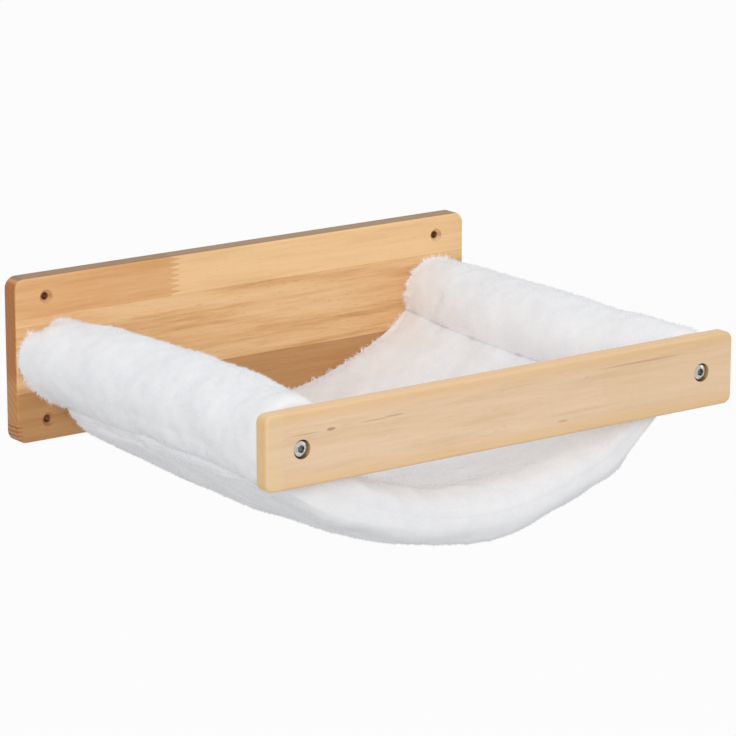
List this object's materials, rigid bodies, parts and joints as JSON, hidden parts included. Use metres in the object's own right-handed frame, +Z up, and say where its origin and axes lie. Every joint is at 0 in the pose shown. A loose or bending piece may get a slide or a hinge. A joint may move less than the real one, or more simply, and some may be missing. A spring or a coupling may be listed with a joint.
{
  "type": "wall-mounted cat hammock",
  "caption": "Wall-mounted cat hammock: a wooden wall board and front rail joined by round rods that carry a padded plush sling in sewn sleeves.",
  "frame": {"origin": "centre of the wall board's back face, where the board lies on the wall", "axes": "+X to the right as seen from the room, +Y into the wall, +Z up"},
  "size_m": [0.42, 0.343, 0.1796],
  "materials": {
    "board_wood": "satin",
    "rail_wood": "satin",
    "rod_wood": "matte",
    "bolt_steel": "satin",
    "insert_zinc": "matte",
    "plush": "matte",
    "wadding": "matte"
  },
  "bodies": {
    "hammock": {"wall_board": "board_wood", "front_rail": "rail_wood", "left_rod": "rod_wood", "right_rod": "rod_wood", "rear_left_insert": "insert_zinc", "rear_right_insert": "insert_zinc", "front_left_insert": "insert_zinc", "front_right_insert": "insert_zinc", "rear_left_bolt": "bolt_steel", "rear_right_bolt": "bolt_steel", "left_sleeve": "plush", "right_sleeve": "plush", "sling_top_panel": "plush", "sling_wadding": "wadding", "sling_base_panel": "plush"},
    "left_bolt": {"front_left_bolt": "bolt_steel"},
    "right_bolt": {"front_right_bolt": "bolt_steel"}
  },
  "joints": [
    {"name": "left_bolt_draw", "type": "slide", "parent": "hammock", "child": "left_bolt", "axis": [0, -1, 0], "range_m": [0, 0.03]},
    {"name": "right_bolt_draw", "type": "slide", "parent": "hammock", "child": "right_bolt", "axis": [0, -1, 0], "range_m": [0, 0.03]}
  ]
}
